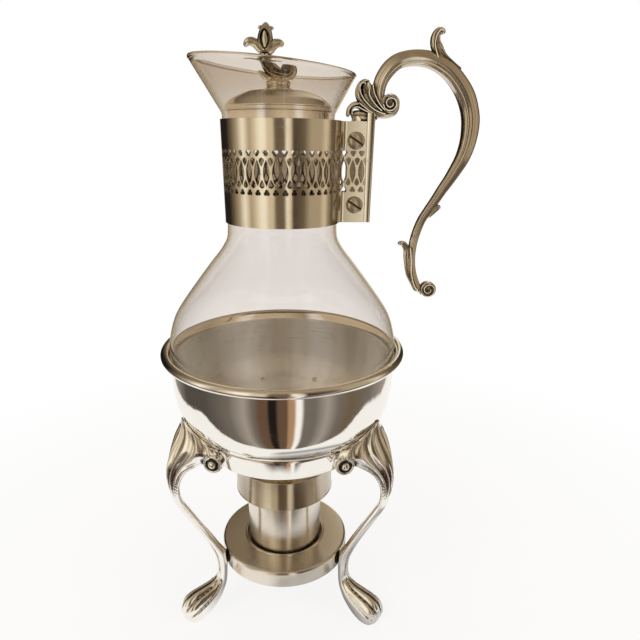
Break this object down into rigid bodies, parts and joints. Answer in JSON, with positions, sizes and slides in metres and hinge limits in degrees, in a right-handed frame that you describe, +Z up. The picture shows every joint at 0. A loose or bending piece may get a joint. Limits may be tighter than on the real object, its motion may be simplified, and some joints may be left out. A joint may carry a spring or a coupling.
{
  "type": "coffee carafe on warming stand",
  "caption": "Glass coffee carafe in a pierced neck band with a scrolled handle and a lift-off lid, standing in a footed bowl over a spirit burner.",
  "frame": {"origin": "on the ground under the middle of the whole outline", "axes": "+Z up, +X towards the handle, -X towards the pouring side, -Y towards the front; the axis of bowl and carafe stands at x -20.86 mm, y -2.09 mm"},
  "size_m": [0.2068, 0.1694, 0.4023],
  "materials": {
    "polished_silver_plate": "polished silver plate, a little worn",
    "satin_silver_plate": "satin silver plate, warm",
    "aged_silver_plate": "warm aged silver plate, darker in its recesses",
    "brass": "plain brass",
    "cotton": "woven cotton wick",
    "clear_glass": "clear glass with a slight warm tint and a fire-polished lip"
  },
  "bodies": {
    "stand": {"bowl": "polished_silver_plate", "foot_ring": "polished_silver_plate", "burner_tray": "satin_silver_plate", "leg_back": "polished_silver_plate", "leg_front_left": "polished_silver_plate", "leg_front_right": "polished_silver_plate", "rivet_back_a": "polished_silver_plate", "rivet_back_b": "polished_silver_plate", "rivet_front_left_a": "polished_silver_plate", "rivet_front_left_b": "polished_silver_plate", "rivet_front_right_a": "polished_silver_plate", "rivet_front_right_b": "polished_silver_plate"},
    "burner": {"burner_cup": "satin_silver_plate", "wick_plate": "brass", "wick_tube": "brass", "wick": "cotton"},
    "guard": {"burner_guard": "satin_silver_plate"},
    "carafe": {"carafe_glass": "clear_glass", "neck_band": "aged_silver_plate", "handle": "aged_silver_plate", "clamp_screw_upper": "aged_silver_plate", "clamp_screw_lower": "aged_silver_plate", "clamp_nut_upper": "aged_silver_plate", "clamp_nut_lower": "aged_silver_plate"},
    "lid": {"lid_dome": "aged_silver_plate", "lid_skirt": "aged_silver_plate", "finial_ferrule": "aged_silver_plate", "finial": "aged_silver_plate", "finial_screw": "aged_silver_plate"}
  },
  "joints": [
    {"name": "carafe_lift", "type": "slide", "parent": "stand", "child": "carafe", "axis": [0, 0, 1], "range_m": [0, 0.12]},
    {"name": "lid_lift", "type": "slide", "parent": "carafe", "child": "lid", "axis": [0, 0, 1], "range_m": [0, 0.07]},
    {"name": "burner_lift", "type": "slide", "parent": "stand", "child": "burner", "axis": [0, 0, 1], "range_m": [0, 0.0125]},
    {"name": "guard_lift", "type": "slide", "parent": "burner", "child": "guard", "axis": [0, 0, 1], "range_m": [0, 0.0048]}
  ]
}
